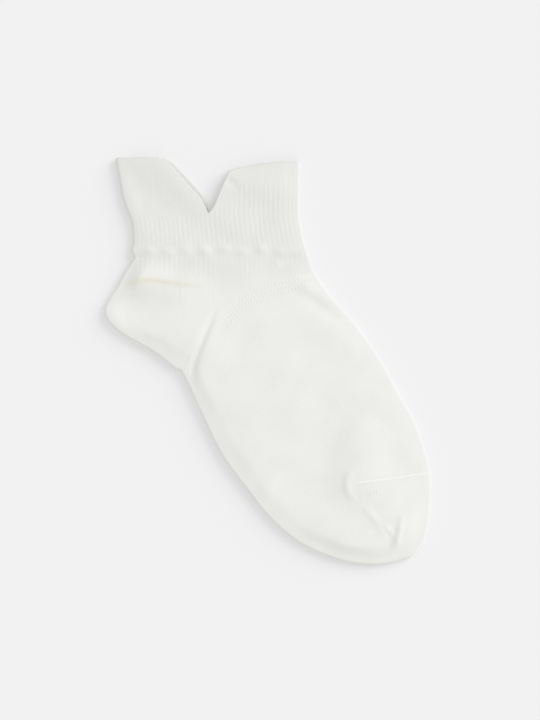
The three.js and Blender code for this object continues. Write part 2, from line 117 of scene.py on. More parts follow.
BACK_TAB = [
    TabRow((-80.9, 108.5), (-58.4, 108.6), (-55.8, 108.6), 0.0, 0.0),
    TabRow((-81.1, 106.4), (-54.0, 106.6), (-51.0, 106.4), 0.0, 0.0),
    TabRow((-80.3, 102.0), (-49.4, 102.0), (-46.4, 102.0), 0.0, 0.0),
    TabRow((-79.3, 96.6), (-44.6, 96.6), (-41.4, 96.6), 0.0, 0.0),
    TabRow((-78.4, 91.3), (-39.8, 91.3), (-36.7, 91.3), 0.0, 0.0),
    TabRow((-77.2, 86.0), (-35.2, 86.0), (-33.0, 86.0), 0.0, 0.0),
    TabRow((-74.6, 78.8), (-31.6, 78.8), (-31.6, 78.8), 0.0, 0.0),
]
FRONT_TAB = [
    TabRow((17.2, 106.5), (-20.7, 101.7), (-20.7, 101.7), 1.4, 0.0),
    TabRow((17.5, 102.6), (-22.4, 97.7), (-22.4, 97.7), 1.1, 0.0),
    TabRow((17.4, 97.2), (-24.8, 92.4), (-24.8, 92.4), 0.7, 0.25),
    TabRow((17.3, 93.6), (-26.2, 89.0), (-26.2, 89.0), 0.5, 0.9),
    TabRow((17.2, 86.4), (-28.9, 82.5), (-28.9, 82.5), 0.2, 1.0),
    TabRow((17.1, 78.8), (-31.6, 78.8), (-31.6, 78.8), 0.0, 1.0),
]
RIB_BAND = [
    BandRow((-74.6, 78.8), (-31.6, 78.8), (17.1, 78.8), 0.0, 1.0),
    BandRow((-73.4, 76.2), (-31.3, 76.0), (17.4, 76.0), 0.7, 1.0),
    BandRow((-72.5, 73.0), (-31.1, 72.6), (18.0, 72.6), 1.0, 1.0),
    BandRow((-71.8, 64.1), (-30.2, 64.1), (19.6, 64.1), 1.0, 0.9),
    BandRow((-72.4, 61.3), (-30.0, 61.3), (20.4, 61.5), 0.4, 0.6),
    BandRow((-73.0, 59.0), (-29.7, 59.0), (21.2, 59.1), 0.1, 0.3),
    BandRow((-72.2, 56.7), (-29.3, 56.6), (22.0, 56.7), 0.4, 0.4),
    BandRow((-71.7, 54.9), (-29.0, 54.4), (22.5, 55.2), 0.9, 0.5),
    BandRow((-74.6, 50.0), (-28.1, 48.6), (23.5, 51.6), 0.9, 0.3),
    BandRow((-76.4, 47.3), (-27.7, 45.0), (23.9, 50.4), 0.1, 0.1),
    BandRow((-78.4, 43.4), (-26.9, 38.4), (24.3, 49.3), 0.0, 0.0),
    BandRow((-80.3, 39.6), (-26.0, 30.0), (24.8, 48.1), 0.0, 0.0),
]
HEEL_FOLD = [
    (-80.3, 39.6), (-83.5, 35.0), (-86.1, 30.6), (-87.3, 26.8), (-86.4, 23.2), (-83.3, 19.1),
    (-78.2, 14.8), (-70.8, 10.3), (-62.8, 5.9), (-55.3, 0.4), (-50.5, -3.6), (-46.5, -5.2),
]
FOOT = [
    FootRow((-46.5, -5.2), (-26.0, 30.0), (24.8, 48.1)),
    FootRow((-41.2, -15.8), (-19.6, 16.1), (34.2, 34.8)),
    FootRow((-33.2, -33.4), (-10.0, -0.4), (48.1, 18.8)),
    FootRow((-23.9, -51.5), (1.2, -18.5), (60.9, 0.2)),
    FootRow((-11.1, -68.9), (12.4, -35.6), (70.5, -17.4)),
    FootRow((2.0, -84.9), (23.1, -48.9), (78.0, -30.5)),
    FootRow((18.8, -98.2), (33.2, -57.7), (82.7, -42.5)),
    FootRow((41.2, -107.0), (39.8, -62.7), (85.3, -51.5)),
    FootRow((58.8, -108.6), (41.4, -64.1), (86.4, -56.2)),
    FootRow((69.4, -106.7), (42.8, -65.4), (87.0, -59.5)),
]
TOE_FOLD = [
    (87.0, -59.5), (87.4, -68.6), (87.0, -78.2), (85.8, -87.8), (83.0, -96.8), (77.2, -103.8),
    (69.4, -106.7),
]
ANKLE_CORNER = RIB_BAND[-1].middle
TOE_CORNER = FOOT[-1].middle

# Broad swells where trapped air and spare cloth lift the near leaf: half-widths, degrees and height.
Swell = namedtuple("Swell", "name at along across turn height")
SWELLS = [
    Swell("foot", (9, -28), 58, 34, -55, 1.1),
    Swell("heel", (-53, 21), 24, 16, -30, 0.9),
    Swell("toe", (62, -80), 24, 16, -70, 1.3),
    Swell("ankle", (-26, 52), 30, 12, 0, 0.5),
    Swell("front tab", (-4, 94), 16, 9, 0, 0.4),
    Swell("back tab edge", (-49, 97), 20, 7, -48, 0.7),
]

# Folds and hollows of the near leaf. Each follows a line of points, which give the place in the plan
# and the height there, below zero in a trough. Its flanks have a width to the left and one to the
# right of the line, as it runs from its first point to its last.
Crease = namedtuple("Crease", "name left right points")
CREASES = [
    Crease("roll over the heel's top line", 5.5, 1.9, [
        (-80, 38, 0.4), (-71, 43.2, 0.6), (-61, 44.3, 0.6), (-51, 43, 0.5), (-41, 41.6, 0.3), (-30, 41, 0),
    ]),
    Crease("heel's shelf", 11.0, 7.5, [
        (-83, 37, 0.5), (-76, 41.2, 1.5), (-67, 42.4, 2.1), (-57, 42.4, 1.3), (-47, 42, 0.3), (-40, 41, 0),
    ]),
    Crease("heel hollow", 9.0, 14.0, [
        (-86, 28, -0.2), (-79, 29, -1.0), (-71, 31, -1.5), (-63, 34.5, -1.1), (-54, 37.6, -0.4),
        (-46, 39, 0),
    ]),
    Crease("gore fold", 1.4, 2.0, [
        (-27, 29, -0.1), (-31, 19, -0.4), (-35.6, 8, -0.5), (-39.4, -2, -0.5), (-41.6, -10, -0.5),
        (-42.5, -18, 0),
    ]),
    Crease("gore fold's far side", 9.0, 2.2, [
        (-24, 26.5, 0.1), (-28.6, 17, 0.4), (-32.8, 6.5, 0.5), (-36, -4, 0.6), (-37.6, -13, 0.5),
        (-38, -24, 0),
    ]),
    Crease("toe hollow", 11.0, 18.0, [
        (42, -26, -0.2), (32, -38, -0.9), (27, -50, -1.1), (27, -62, -0.8), (31, -76, -0.3), (36, -84, 0),
    ]),
    Crease("toe shoulder", 12.0, 11.0, [
        (60, -32, 0.2), (54.5, -41, 0.8), (49.5, -51, 1.1), (46.2, -62, 1.0), (46.6, -72, 0.6),
        (50, -82, 0.1),
    ]),
    Crease("toe's lower roll", 13.0, 5.0, [
        (7, -79, 0), (21, -90, 0.6), (33, -95.5, 1.1), (46, -98.6, 1.2), (57, -98.4, 0.7), (65, -95, 0),
    ]),
    Crease("toe corner", 2.6, 1.6, [
        (47, -54.5, 0), (43.4, -59, 0.3), (41.6, -64.5, 0.5), (43, -70.5, 0.4), (47, -76, 0),
    ]),
    Crease("toe gore pucker", 2.2, 1.6, [
        (50.5, -76.5, 0), (54.5, -81, 0.3), (58.2, -86.4, 0.25), (61.5, -92.5, 0.15), (64, -97, 0),
    ]),
    Crease("toe gore dimple", 1.8, 1.5, [
        (56, -91.4, 0), (60, -88.3, -0.3), (65.5, -85.8, -0.25), (70, -84, 0),
    ]),
    Crease("toe gore branch", 1.6, 1.4, [
        (58.5, -84.5, 0), (63, -88.2, 0.2), (67.5, -93.6, 0.15), (70, -97, 0),
    ]),
    Crease("toe tuck", 2.0, 1.1, [
        (71.8, -81, 0), (70.6, -86.5, 0.3), (69.4, -93, 0.5), (68, -98.2, 0.6), (64.6, -101.8, 0.5),
        (60, -104.4, 0.1),
    ]),
    Crease("toe tuck's hollow", 1.4, 3.0, [
        (68.8, -82, 0), (67.4, -89, -0.3), (65.8, -95, -0.35), (62.5, -99.6, -0.4), (56, -103, 0),
    ]),
    Crease("instep crease", 2.0, 3.0, [
        (5, 52, 0), (9, 53.5, -0.4), (15.5, 56, -0.6), (21, 58.3, -0.3), (24, 59.5, 0),
    ]),
    Crease("instep hollow", 4.0, 5.0, [
        (9, 37.5, 0), (16, 35.5, -0.4), (25, 32, -0.7), (33, 28.4, -0.6), (42, 23, 0),
    ]),
    Crease("back tab hollow", 9.0, 10.0, [
        (-79, 99, -0.2), (-69, 91, -0.7), (-59, 84.5, -0.8), (-47, 77, -0.4), (-38, 70, 0),
    ]),
    Crease("front tab dent", 2.2, 2.2, [
        (-21.5, 98, 0), (-20, 95.6, -0.4), (-17.6, 92.8, -0.2), (-16, 90, 0),
    ]),
]

# The crease along the roll over the heel's top line has painted shade, warmer and darker. Its heights are
# that shade's strength, from 0 to 1.
ROLL_PAINTED_SHADE = Crease("warm roll", 1.8, 1.5, [
    (-80, 36.4, 0.6), (-75, 40.2, 1.0), (-69, 42.4, 1.0), (-60, 42.9, 0.9), (-50, 41.6, 0.8),
    (-40, 40.6, 0.3), (-33, 40.2, 0),
])
WARM_SHADE_TINT = (0.0, -0.014, -0.10)  # what the painted shade adds to the yarn's linear red, green and blue

# The small bubbles of the strip between the two ribbed bands, from the back to the front.
PUCKERS = [
    Swell("first", (-62.8, 59.0), 3.0, 2.4, 0, 0.36),
    Swell("second", (-53.2, 58.2), 3.4, 2.2, 0, 0.45),
    Swell("third", (-43.6, 59.4), 2.8, 2.6, 0, 0.39),
    Swell("fourth", (-33.4, 58.6), 3.2, 2.8, 0, 0.59),
    Swell("fifth", (-22.8, 59.6), 3.4, 2.4, 0, 0.49),
    Swell("sixth", (-13.2, 58.0), 3.6, 2.6, 0, 0.39),
    Swell("seventh", (-3.1, 59.4), 3.0, 2.6, 0, 0.55),
    Swell("eighth", (6.5, 58.4), 3.2, 2.2, 0, 0.33),
]

# Slow ripples that keep a broad knit from lying dead flat: degrees, wavelength, height and phase.
Ripple = namedtuple("Ripple", "turn wavelength height phase")
RIPPLE_BEND = 2.5  # how far a ripple's line wanders to the side
RIPPLE_BEND_RUN = 0.5  # how soon it does so, in wavelengths
RIPPLES = [
    Ripple(20, 31.0, 0.10, 0.4),
    Ripple(75, 23.0, 0.08, 2.1),
    Ripple(-40, 17.0, 0.06, 4.4),
    Ripple(130, 12.5, 0.04, 1.3),
]

# Heights on the leg, in the plan, where the knit changes.
NOTCH_Y = 78.8  # where the foot of the V lies
PLAIN_STRIP_Y = 59.0  # where the plain strip between the two ribbed bands lies
CUFF_END_Y = 38.0  # where the cuff's painted shade has run out

# Where the knit is painted darker, as painted shade, and by how much of its light.
CUFF_RUN = 16.0  # over how much of the leg the cuff's painted shade comes in
# The cuff, ribbed and plain, is painted a little darker than the foot: painted shade.
CUFF_PAINTED_SHADE = 0.052
EDGE_RUN = 1.2  # how far in from an open edge the painted shade reaches
# Painted shade along an open edge, which dims the highlight of its rounded rim.
EDGE_PAINTED_SHADE = 0.13

# The materials by their yarn: one bleached cotton, and the same a little whiter for linking the toe.
YARNS = {
    "plain_yarn": "bleached cotton jersey",
    "rib_yarn": "bleached cotton rib",
    "seam_yarn": "cotton linking yarn",
}

# Short rows of raised stitches, in the plan: a row for each step to the side of the line of points,
# with the pitch, each stitch's length, width and height, and the degrees that it slants.
StitchRow = namedtuple("StitchRow", "name steps pitch size slant points")
STITCH_ROWS = [
    StitchRow("instep_gore_stitches", (-2.6, 0.0, 2.6), 1.9, (2.0, 0.75, 0.42), 62, [
        (-22.2, 22.0), (-9.4, 32.1), (-1.5, 36.9), (11.9, 40.7), (19.8, 46.0),
    ]),
    StitchRow("heel_gore_stitches", (0.0,), 2.1, (1.7, 0.6, 0.42), 80, [
        (-55.0, 38.4), (-40.0, 37.7), (-26.0, 37.4),
    ]),
    StitchRow("toe_gore_stitches", (0.0,), 2.0, (1.6, 0.6, 0.45), 40, [
        (42.8, -68.5), (52.4, -80.3), (58.0, -88.6),
    ]),
    StitchRow("toe_seam_loops", (0.0,), 1.15, (1.6, 0.8, 0.18), 78, [
        (47.6, -64.7), (60.0, -63.1), (72.0, -61.5), (84.0, -59.9),
    ]),
    StitchRow("toe_seam_end_loops", (-0.7, 0.7), 1.2, (2.0, 1.0, 0.45), 70, [
        (82.9, -60.1), (85.6, -59.7),
    ]),
    StitchRow("toe_link_stitches", (0.0,), 1.3, (3.2, 0.55, 0.45), 86, [
        (53.4, -69.4), (57.9, -68.9),
    ]),
    StitchRow("back_tab_edge_stitches", (0.0,), 2.0, (1.3, 0.7, 0.3), 50, [
        (-55.2, 106.4), (-50.6, 101.8), (-45.8, 96.6), (-41.0, 91.3), (-36.5, 86.4), (-33.4, 81.6),
    ]),
]

# The cut of each piece of cloth, all round its tube: width and length in metres, and its area.
Cut = namedtuple("Cut", "piece width length area with_pieces")
CUTS = [
    Cut("back_tab_knit", 0.086, 0.030, 0.0024, ("back_tab_edge_stitches",)),
    Cut("front_tab_knit", 0.090, 0.028, 0.0022, ()),
    Cut("rib_band_knit", 0.200, 0.049, 0.0078, ()),
    Cut("heel_pocket_knit", 0.085, 0.062, 0.0033, ("heel_gore_stitches",)),
    Cut(
        "foot_knit",
        0.190,
        0.150,
        0.0245,
        ("instep_gore_stitches", "toe_seam_strip", "toe_seam_loops", "toe_seam_end_loops"),
    ),
    Cut("toe_pocket_knit", 0.096, 0.047, 0.0027, ("toe_gore_stitches", "toe_link_stitches")),
]

# The stage: the photo's frame, one soft light and the floor.
PHOTO_HEIGHT = 0.3838  # how much of the floor the picture's height spans
PICTURE_MIDDLE = (0.0012, 0.0007)  # the place under the middle of the picture
LENS = 85.0
SENSOR = 36.0
CAMERA_REACH = 10.0
FLOOR_SIZE = 6.0
FLOOR_DROP = 0.00005  # keeps the floor off the underside, in metres
SOFTBOX_SIDE = 32.0  # degrees up the picture from its right-hand side
SOFTBOX_HEIGHT = 24.0  # degrees over the floor
SOFTBOX_SPREAD = 44.0  # degrees of the sky that it fills
SOFTBOX_STRENGTH = 1.6
ROOM_STRENGTH = 0.765  # of the even white room all round
FLOOR_GLOW = 0.20  # of the floor itself, as of a light table
HELD_LIGHTS = [(0.88, 0.88), (0.92, 0.905)]  # light in and light out, up to the brightest
HIGHEST_LIGHT = 0.925  # what the brightest light comes out as
WHITE = (1.0, 1.0, 1.0, 1.0)

MATH = "ShaderNodeMath"
VECTOR_MATH = "ShaderNodeVectorMath"
ADD = {"operation": "ADD"}
SUBTRACT = {"operation": "SUBTRACT"}
MULTIPLY = {"operation": "MULTIPLY"}
MULTIPLY_ADD = {"operation": "MULTIPLY_ADD"}
POWER = {"operation": "POWER"}
SCALE = {"operation": "SCALE"}
SINE = {"operation": "SINE"}
COSINE = {"operation": "COSINE"}
ABSOLUTE = {"operation": "ABSOLUTE"}
FRACT = {"operation": "FRACT"}

# A fold and its two leaves as rows of stations: their places in the plan and in the knit laid flat,
# their heights before any lift, the skin's normals, how much of the lift they take, their distances
# from the fold's line and from an open edge, and the fold's own x.
Half = namedtuple("Half", "plan flat base normal fade inward edge fold_x")


class SockSizes(bpy.types.PropertyGroup):
    wall: bpy.props.FloatProperty(
        name="Knit thickness", description="One layer of the knit", default=0.0013, unit="LENGTH"
    )
    fold_radius: bpy.props.FloatProperty(
        name="Fold radius",
        description="Outside radius where the near leaf turns into the far leaf",
        default=0.0019,
        unit="LENGTH",
    )
    back_ribs: bpy.props.IntProperty(
        name="Back ribs", description="Ribs from the back fold to the foot of the V", default=16
    )
    front_ribs: bpy.props.IntProperty(
        name="Front ribs", description="Ribs from the foot of the V to the front fold", default=18
    )
    rib_height: bpy.props.FloatProperty(
        name="Rib height", description="Height of a rib over its valley", default=0.000065, unit="LENGTH"
    )
    rib_roundness: bpy.props.FloatProperty(
        name="Rib roundness", description="Below 1 a rib is broad and its valley narrow", default=0.7
    )
    # The real stitches are about 0.8 mm wide and 0.6 mm high, too fine to show in the picture, so
    # they are drawn about one and a half times as coarse.
    wale: bpy.props.FloatProperty(
        name="Wale", description="Width of one column of knit stitches", default=0.00128, unit="LENGTH"
    )
    course: bpy.props.FloatProperty(
        name="Course", description="Height of one row of knit stitches", default=0.00095, unit="LENGTH"
    )
    stitch_relief: bpy.props.FloatProperty(
        name="Stitch relief", description="Depth between knit stitches", default=0.00005, unit="LENGTH"
    )
    seam_width: bpy.props.FloatProperty(
        name="Toe seam width", description="Width of the linked toe seam", default=0.0022, unit="LENGTH"
    )
    seam_height: bpy.props.FloatProperty(
        name="Toe seam height", description="Height of the linked toe seam", default=0.00024, unit="LENGTH"
    )


class SockColours(bpy.types.PropertyGroup):
    plain_yarn: bpy.props.StringProperty(
        name="Plain yarn", description="sRGB hex colour of the plain knit", default="F1F1ED"
    )
    rib_yarn: bpy.props.StringProperty(
        name="Rib yarn", description="sRGB hex colour of the ribbed knit", default="F1F1ED"
    )
    seam_yarn: bpy.props.StringProperty(
        name="Seam yarn", description="sRGB hex colour of the linking yarn", default="F7F7F3"
    )
    floor: bpy.props.StringProperty(
        name="Floor", description="sRGB hex colour of the floor", default="DBDBDB"
    )


def mm(metres):
    return metres / MM


def smooth(t):
    t = np.clip(t, 0.0, 1.0)
    return t * t * (3.0 - 2.0 * t)


def catmull_rom(points, places):
    """Values on a smooth curve through points, at places that count the spans from the first point."""
    points = np.asarray(points, dtype=float)
    padded = np.vstack([2 * points[0] - points[1], points, 2 * points[-1] - points[-2]])
    span = np.clip(np.floor(places).astype(int), 0, len(points) - 2)
    t = (places - span)[:, None]
    a, b, c, d = (padded[span + i] for i in range(4))
    return 0.5 * (2 * b + (c - a) * t + (2 * a - 5 * b + 4 * c - d) * t**2 + (3 * b - a - 3 * c + d) * t**3)


def even_places(points, spacing):
    """Places along a line of points, about evenly spaced in millimetres, with every point kept."""
    points = np.asarray(points, dtype=float)
    spans = np.linalg.norm(np.diff(points, axis=0), axis=1)
    steps = [np.linspace(i, i + 1, max(2, round(s / spacing)), endpoint=False) for i, s in enumerate(spans)]
    return np.concatenate(steps + [[len(points) - 1]])


def row_places(points, spacing, tight_start=True):
    """Even places with one more close to each end, which keeps the smooth shading off the rims."""
    points = np.asarray(points, dtype=float)
    places = even_places(points, spacing)
    first, last = (RIM_MARGIN / np.linalg.norm(points[i] - points[i + 1]) for i in (0, -2))
    start = [0.0, first] if tight_start else [0.0]
    return np.concatenate([start, places[1:-1], [places[-1] - last, places[-1]]])


def crown_height(inward):
    """How much the near leaf has risen at a distance from the end of a fold, steepest at the fold."""
    t = np.clip(inward / CROWN_RUN, 0.0, 1.0)
    return CROWN * smooth(CROWN_EASE * t) * t * (2.0 - t)


def turned(x, y, degrees):
    """How far places in the plan lie along a direction, and how far across it."""
    angle = math.radians(degrees)
    return x * math.cos(angle) + y * math.sin(angle), y * math.cos(angle) - x * math.sin(angle)


def swell_height(swell, x, y):
    u, v = turned(x - swell.at[0], y - swell.at[1], swell.turn)
    return swell.height * np.exp(-((u / swell.along) ** 2 + (v / swell.across) ** 2))


def crease_height(crease, x, y):
    """Height of a crease at places in the plan, from the nearest point of its smoothed line."""
    line = catmull_rom(crease.points, even_places([point[:2] for point in crease.points], CREASE_SPACING))
    nearest = np.full(np.shape(x), np.inf)
    height = np.zeros(np.shape(x))
    for start, end in zip(line[:-1], line[1:]):
        span = end[:2] - start[:2]
        t = np.clip(((x - start[0]) * span[0] + (y - start[1]) * span[1]) / (span @ span), 0, 1)
        dx, dy = x - start[0] - t * span[0], y - start[1] - t * span[1]
        away = np.hypot(dx, dy)
        width = np.where(span[0] * dy - span[1] * dx > 0, crease.left, crease.right)
        here = (start[2] + (end[2] - start[2]) * t) * np.exp(-((away / width) ** 2))
        height = np.where(away < nearest, here, height)
        nearest = np.minimum(nearest, away)
    return height


def ripple_height(ripple, x, y):
    along, across = turned(x, y, ripple.turn)
    bend = RIPPLE_BEND * np.sin(across / (RIPPLE_BEND_RUN * ripple.wavelength))
    return ripple.height * np.sin(2 * math.pi * (along + bend) / ripple.wavelength + ripple.phase)


def lift(x, y):
    """How much the near leaf stands above the two flat leaves, at a place in the drawn plan."""
    kinds = (
        (swell_height, SWELLS),
        (crease_height, CREASES),
        (swell_height, PUCKERS),
        (ripple_height, RIPPLES),
    )
    return sum(sum(height(shape, x, y) for shape in shapes) for height, shapes in kinds)


def folded_half(fold, near, far, columns, depth, sizes, reach=None, bow=None, open_edge=0.0):
    """Stations of one fold and its two leaves, in every row, from the far leaf's end to the near leaf's.

    depth is how far under the cloth's outer skin the stations lie. A reach spaces the near stations
    along that length, and those past the row's end stop there. An open edge has extra stations close
    to both ends, for its rounding.
    """
    radius = mm(sizes.fold_radius)
    near_length = np.linalg.norm(near - fold, axis=1)[:, None]
    far_length = np.linalg.norm(far - fold, axis=1)[:, None]
    near_way = (near - fold) / near_length
    far_way = (far - fold) / far_length
    rounding = open_edge * EDGE_STEPS if open_edge else np.empty(0)
    far_steps = np.linspace(0, 1, columns.far, endpoint=False)
    far_in = (far_length - open_edge) * (1 - far_steps) + radius * far_steps
    far_in = np.hstack([far_length - rounding[::-1], far_in])
    angle = np.radians(np.linspace(-90, 90, columns.fold + 1))
    ones = np.ones((len(fold), 1))
    arc_sine, arc_cosine = ones * np.sin(angle), ones * np.cos(angle)
    arc_in = radius - (radius - depth) * arc_cosine
    near_steps = np.linspace(0, 1, columns.near + 1)[1:]
    spaced = radius + ((near_length if reach is None else reach) - radius) * near_steps
    near_in = np.minimum(near_length - open_edge, spaced)
    near_in = np.hstack([near_in, near_length - rounding])

    inward = np.hstack([far_in, arc_in, near_in])
    on_far = (np.arange(inward.shape[1]) < far_in.shape[1])[None, :, None]
    way = np.where(on_far, far_way[:, None, :], near_way[:, None, :])
    plan = fold[:, None, :] + way * inward[:, :, None]
    if bow is not None:
        t = inward / near_length
        sideways = np.stack([-near_way[:, 1], near_way[:, 0]], axis=1) * np.sign(near_way[:, :1])
        plan = plan + sideways[:, None, :] * (4 * bow[:, None] * t * (1 - t))[:, :, None]

    round_fold = ones * (radius - radius * (math.pi / 2 - angle))
    unrolled = np.hstack([radius - radius * math.pi - (far_in - radius), round_fold, near_in])
    flat = fold[:, None, :] + near_way[:, None, :] * unrolled[:, :, None]

    ones_far, ones_near = np.ones_like(far_in), np.ones_like(near_in)
    arc_height = radius + (radius - depth) * arc_sine
    crown = crown_height(near_in - radius)
    base = np.hstack([ones_far * depth, arc_height, 2 * radius - depth + crown])
    fade = np.hstack([0 * ones_far, 0 * arc_in, smooth((near_in - radius) / LIFT_FADE)])
    up = np.hstack([-ones_far, arc_sine, ones_near])
    out = np.hstack([0 * ones_far, arc_cosine, 0 * ones_near])
    normal = np.dstack([-way[:, :, 0] * out, -way[:, :, 1] * out, up])
    edge = np.full_like(inward, NO_EDGE)
    if open_edge:
        edge = np.hstack([far_length - far_in, np.full_like(arc_in, NO_EDGE), near_length - near_in])
    fold_x = np.repeat(fold[:, :1], inward.shape[1], axis=1)
    return Half(plan, flat, base, normal, fade, inward, edge, fold_x)


def both_skins(fold, near, far, columns, sizes, **edges):
    """The stations of a fold and its leaves for the outer skin and for the inner one."""
    depths = (0.0, mm(sizes.wall))
    return [folded_half(fold, near, far, columns, depth, sizes, **edges) for depth in depths]


def joined(back, front):
    """A closed ring of stations, out along one half and back along the other."""
    return Half(*(np.concatenate([a, b[:, ::-1][:, 1:-1]], axis=1) for a, b in zip(back, front)))


def edge_distance(half, row_edge):
    """Distance of the stations to the nearest open edge, at a row's end or over the row."""
    return half.edge if row_edge is None else np.minimum(half.edge, row_edge[:, None])


def skin_points(halves, sizes, row_edge=None):
    """Places in space of the stations of both skins. They meet in the middle of a rounded edge."""
    middle = mm(sizes.wall) / 2
    skins = []
    for half, way in zip(halves, (-1, 1)):
        height = half.base + lift(half.plan[:, :, 0], half.plan[:, :, 1]) * half.fade
        closeness = np.clip(1 - edge_distance(half, row_edge) / middle, 0, 1)
        drawn_in = middle * (1 - np.sqrt(1 - closeness**2))
        skins.append(np.dstack([half.plan, height]) + way * half.normal * drawn_in[:, :, None])
    return skins


def grid_faces(numbers, closed):
    """Quads of a grid of stations, by their numbers. A closed grid goes back to its first column."""
    if closed:
        numbers = np.hstack([numbers, numbers[:, :1]])
    corners = numbers[:-1, :-1], numbers[:-1, 1:], numbers[1:, 1:], numbers[1:, :-1]
    return np.stack([corner.ravel() for corner in corners], axis=1)


def signed_volume(points, faces):
    """Volume inside a closed mesh of quads, below zero when its faces look inward."""
    first, second = points[faces[:, [0, 1, 2]]], points[faces[:, [0, 2, 3]]]
    triangles = np.concatenate([first, second])
    return np.einsum("ij,ij->i", triangles[:, 0], np.cross(triangles[:, 1], triangles[:, 2])).sum() / 6


def add_object(name, data):
    obj = bpy.data.objects.new(name, data)
    bpy.context.collection.objects.link(obj)
    return obj


def cloth_object(name, outer, inner, closed, flat, attributes, material):
    """A closed shell of cloth between an outer and an inner skin, with its knit laid out as UVs."""
    rows, columns = outer.shape[:2]
    count = rows * columns
    points = np.concatenate([outer.reshape(-1, 3), inner.reshape(-1, 3)])
    numbers = np.arange(2 * count).reshape(2, rows, columns)
    skins = [grid_faces(numbers[0], closed), grid_faces(numbers[1], closed)[:, ::-1]]
    rims = [grid_faces(numbers[:, 0], closed)[:, ::-1], grid_faces(numbers[:, -1], closed)]
    if not closed:
        rims += [grid_faces(numbers[:, :, 0], False), grid_faces(numbers[:, :, -1], False)[:, ::-1]]
    faces = np.concatenate(skins + rims)
    if signed_volume(points, faces) < 0:
        faces = faces[:, ::-1]

    # Stations that meet at a corner or an edge become one vertex.
    _, kept, merged = np.unique(
        np.round(points, MERGE_DIGITS), axis=0, return_index=True, return_inverse=True
    )
    merged = merged.ravel()
    vertices = points[kept] * MM
    polygons, corners = [], []
    for number, corner in zip(merged[faces].tolist(), faces.tolist()):
        ring = [k for k in range(4) if number[k] != number[k - 1]]
        if len(ring) < 3 or len({number[k] for k in ring}) < len(ring):
            continue
        polygons.append([number[k] for k in ring])
        corners.extend(corner[k] for k in ring)

    mesh = bpy.data.meshes.new(name)
    mesh.from_pydata(vertices.tolist(), [], polygons)
    mesh.shade_smooth()
    layer = mesh.uv_layers.new(name="knit")
    uv = np.concatenate([flat.reshape(-1, 2), flat.reshape(-1, 2)]) / UV_UNIT
    layer.data.foreach_set("uv", uv[np.array(corners)].astype(np.float32).ravel())
    for label, values in attributes.items():
        vector = values.ndim == 3
        flattened = values.reshape(count, -1)
        # Only the painted shade along an open edge shows on the inside of the cloth as well.
        inside = flattened if label == "edge" else np.zeros_like(flattened)
        both = np.concatenate([flattened, inside])[kept]
        layer = mesh.attributes.new(label, "FLOAT_VECTOR" if vector else "FLOAT", "POINT")
        layer.data.foreach_set("vector" if vector else "value", both.astype(np.float32).ravel())
    mesh.materials.append(material)
    mesh.update()
    return add_object(name, mesh)


def turned_flat(flat, degrees):
    """Knit coordinates of plain cloth: the wales run at an angle to the leg."""
    return np.dstack(turned(flat[:, :, 0], flat[:, :, 1], degrees))


def linear_colour(text):
    """Linear RGBA of an sRGB hex colour."""
    channels = [int(text[i : i + 2], 16) / 255 for i in (0, 2, 4)]
    linear = [c / 12.92 if c <= 0.04045 else ((c + 0.055) / 1.055) ** 2.4 for c in channels]
    return (*linear, 1.0)


def add_node(tree, kind, settings, *values, **named):
    """Adds a node, sets its properties, and sets or links its inputs, by their order or by name.

    A node given as a value stands for its first output.
    """
    node = tree.nodes.new(kind)
    for key, value in settings.items():
        setattr(node, key, value)
    inputs = [(node.inputs[i], value) for i, value in enumerate(values)]
    inputs += [(node.inputs[key.replace("_", " ")], value) for key, value in named.items()]
    for socket, value in inputs:
        source = value.outputs[0] if isinstance(value, bpy.types.Node) else value
        if isinstance(source, bpy.types.NodeSocket):
            tree.links.new(source, socket)
        else:
            socket.default_value = source
    return node


def new_material(name, values):
    """A new material and its shader, with values for the shader's inputs by name."""
    material = bpy.data.materials.new(name)
    material.use_nodes = True
    shader = material.node_tree.nodes["Principled BSDF"]
    for label, value in values.items():
        shader.inputs[label].default_value = value
    return material, shader


def board_material(colour):
    """Matt white board, pressed smooth: an even pale ground with no gloss.

    A faint glow from below, as of a light table, keeps the shadows as pale as the photo's.
    """
    values = {
        "Base Color": linear_colour(colour),
        "Roughness": 1.0,
        "Specular IOR Level": 0.0,
        "Emission Color": WHITE,
        "Emission Strength": FLOOR_GLOW,
    }
    return new_material("matt white board", values)[0]


